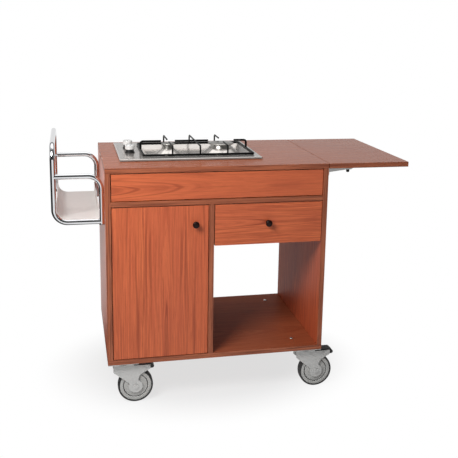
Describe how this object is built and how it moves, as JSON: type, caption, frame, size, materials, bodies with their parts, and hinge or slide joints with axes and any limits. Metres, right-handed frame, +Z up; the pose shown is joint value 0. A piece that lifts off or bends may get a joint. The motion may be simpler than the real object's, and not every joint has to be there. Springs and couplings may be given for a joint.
{
  "type": "serving trolley with gas hob",
  "caption": "Wooden service cabinet on swivel castors with a gas hob, a folding side leaf, a door, a drawer, an open bay and a tubular side rack with push handle.",
  "frame": {"origin": "on the floor under the middle of the whole trolley's box, the raised leaf and the rack included", "axes": "+Z up, the door and drawer face -Y, +X runs from the rack's end to the leaf's end"},
  "size_m": [1.258, 0.574, 0.935],
  "materials": {
    "cherry": "satin foil, vertical cherry grain",
    "cherry_edge": "satin edge band",
    "cherry_top": "satin, slightly glossy worktop",
    "drawer_board": "pale melamine board",
    "stainless": "brushed stainless sheet",
    "zinc": "zinc plated",
    "chrome": "polished",
    "burner": "cast, satin",
    "brass": "machined",
    "enamel_black": "black enamel",
    "pull_dark": "dark antique lacquer",
    "tray": "light grey enamelled sheet",
    "plastic_white": "glossy",
    "plastic_dark": "matt",
    "plastic_grey": "moulded",
    "castor_grey": "grey zinc plate",
    "nylon": "natural nylon",
    "rubber_dark": "matt",
    "tyre": "matt rubber"
  },
  "bodies": {
    "cabinet": {"left_side": "cherry", "right_side": "cherry", "top_panel": "cherry_top", "bottom_panel": "cherry_edge", "hob_shelf": "cherry_edge", "divider": "cherry_edge", "fascia": "cherry", "fascia_cleats": "cherry_edge", "door_bay_back": "cherry", "hob_bay_back": "cherry", "drawer_back_panel": "cherry", "pivot_bushes": "nylon", "cabinet_runners": "zinc", "leaf_wall_plates": "zinc", "leaf_pins": "zinc", "hob_plate": "stainless", "hob_case": "stainless", "burner_heads": "burner", "tap_collars": "plastic_dark", "gas_manifold": "brass", "rack_handle": "chrome", "rack_front_guard": "chrome", "rack_rear_guard": "chrome", "rack_tray": "tray", "rack_plugs": "plastic_dark", "rack_bolts": "zinc", "castor_plates": "castor_grey", "castor_bolts": "zinc"},
    "door": {"door_panel": "cherry", "door_pull": "pull_dark", "door_pivots": "zinc"},
    "drawer": {"drawer_front": "cherry", "drawer_box": "drawer_board", "drawer_bottom": "drawer_board", "drawer_pull": "pull_dark", "drawer_runners": "zinc"},
    "leaf": {"leaf_panel": "cherry_top", "leaf_arms": "zinc", "leaf_buffers": "rubber_dark"},
    "front_tap": {"front_tap_knob": "plastic_white", "front_tap_stem": "zinc"},
    "rear_tap": {"rear_tap_knob": "plastic_white", "rear_tap_stem": "zinc"},
    "small_cap": {"small_burner_cap": "burner"},
    "large_cap": {"large_burner_cap": "burner"},
    "pan_rest": {"pan_support": "enamel_black"},
    "swivel_front_left": {"fork_front_left": "castor_grey"},
    "roller_front_left": {"wheel_front_left": "plastic_grey", "tyre_front_left": "tyre"},
    "pedal_front_left": {"brake_front_left": "plastic_dark"},
    "swivel_front_right": {"fork_front_right": "castor_grey"},
    "roller_front_right": {"wheel_front_right": "plastic_grey", "tyre_front_right": "tyre"},
    "pedal_front_right": {"brake_front_right": "plastic_dark"},
    "swivel_rear_left": {"fork_rear_left": "castor_grey"},
    "roller_rear_left": {"wheel_rear_left": "plastic_grey", "tyre_rear_left": "tyre"},
    "swivel_rear_right": {"fork_rear_right": "castor_grey"},
    "roller_rear_right": {"wheel_rear_right": "plastic_grey", "tyre_rear_right": "tyre"}
  },
  "joints": [
    {"name": "door_hinge", "type": "hinge", "parent": "cabinet", "child": "door", "pos_m": [-0.4235, -0.258, 0.45], "axis": [0, 0, -1], "range_deg": [0, 110]},
    {"name": "drawer_slide", "type": "slide", "parent": "cabinet", "child": "drawer", "axis": [0, -1, 0], "range_m": [0, 0.32]},
    {"name": "leaf_fold", "type": "hinge", "parent": "cabinet", "child": "leaf", "pos_m": [0.34, 0.012, 0.827], "axis": [0, 1, 0], "range_deg": [0, 90]},
    {"name": "front_tap_turn", "type": "hinge", "parent": "cabinet", "child": "front_tap", "pos_m": [-0.35, -0.009, 0.868], "axis": [0, 0, 1], "range_deg": [0, 180]},
    {"name": "rear_tap_turn", "type": "hinge", "parent": "cabinet", "child": "rear_tap", "pos_m": [-0.35, 0.097, 0.868], "axis": [0, 0, 1], "range_deg": [0, 180]},
    {"name": "small_cap_lift", "type": "slide", "parent": "cabinet", "child": "small_cap", "axis": [0, 0, 1], "range_m": [0, 0.009]},
    {"name": "large_cap_lift", "type": "slide", "parent": "cabinet", "child": "large_cap", "axis": [0, 0, 1], "range_m": [0, 0.009]},
    {"name": "pan_support_lift", "type": "slide", "parent": "cabinet", "child": "pan_rest", "axis": [0, 0, 1], "range_m": [0, 0.15]},
    {"name": "swivel_turn_front_left", "type": "hinge", "parent": "cabinet", "child": "swivel_front_left", "pos_m": [-0.3995, -0.2195, 0.15], "axis": [0, 0, 1], "continuous": true},
    {"name": "wheel_spin_front_left", "type": "hinge", "parent": "swivel_front_left", "child": "roller_front_left", "pos_m": [-0.3555, -0.2195, 0.0625], "axis": [0, 1, 0], "continuous": true},
    {"name": "pedal_press_front_left", "type": "hinge", "parent": "swivel_front_left", "child": "pedal_front_left", "pos_m": [-0.3275, -0.2195, 0.135], "axis": [0, 1, 0], "range_deg": [0, 11]},
    {"name": "swivel_turn_front_right", "type": "hinge", "parent": "cabinet", "child": "swivel_front_right", "pos_m": [0.2735, -0.2195, 0.15], "axis": [0, 0, 1], "continuous": true},
    {"name": "wheel_spin_front_right", "type": "hinge", "parent": "swivel_front_right", "child": "roller_front_right", "pos_m": [0.3175, -0.2195, 0.0625], "axis": [0, 1, 0], "continuous": true},
    {"name": "pedal_press_front_right", "type": "hinge", "parent": "swivel_front_right", "child": "pedal_front_right", "pos_m": [0.3455, -0.2195, 0.135], "axis": [0, 1, 0], "range_deg": [0, 11]},
    {"name": "swivel_turn_rear_left", "type": "hinge", "parent": "cabinet", "child": "swivel_rear_left", "pos_m": [-0.3995, 0.2435, 0.15], "axis": [0, 0, 1], "continuous": true},
    {"name": "wheel_spin_rear_left", "type": "hinge", "parent": "swivel_rear_left", "child": "roller_rear_left", "pos_m": [-0.3555, 0.2435, 0.0625], "axis": [0, 1, 0], "continuous": true},
    {"name": "swivel_turn_rear_right", "type": "hinge", "parent": "cabinet", "child": "swivel_rear_right", "pos_m": [0.2735, 0.2435, 0.15], "axis": [0, 0, 1], "continuous": true},
    {"name": "wheel_spin_rear_right", "type": "hinge", "parent": "swivel_rear_right", "child": "roller_rear_right", "pos_m": [0.3175, 0.2435, 0.0625], "axis": [0, 1, 0], "continuous": true}
  ]
}
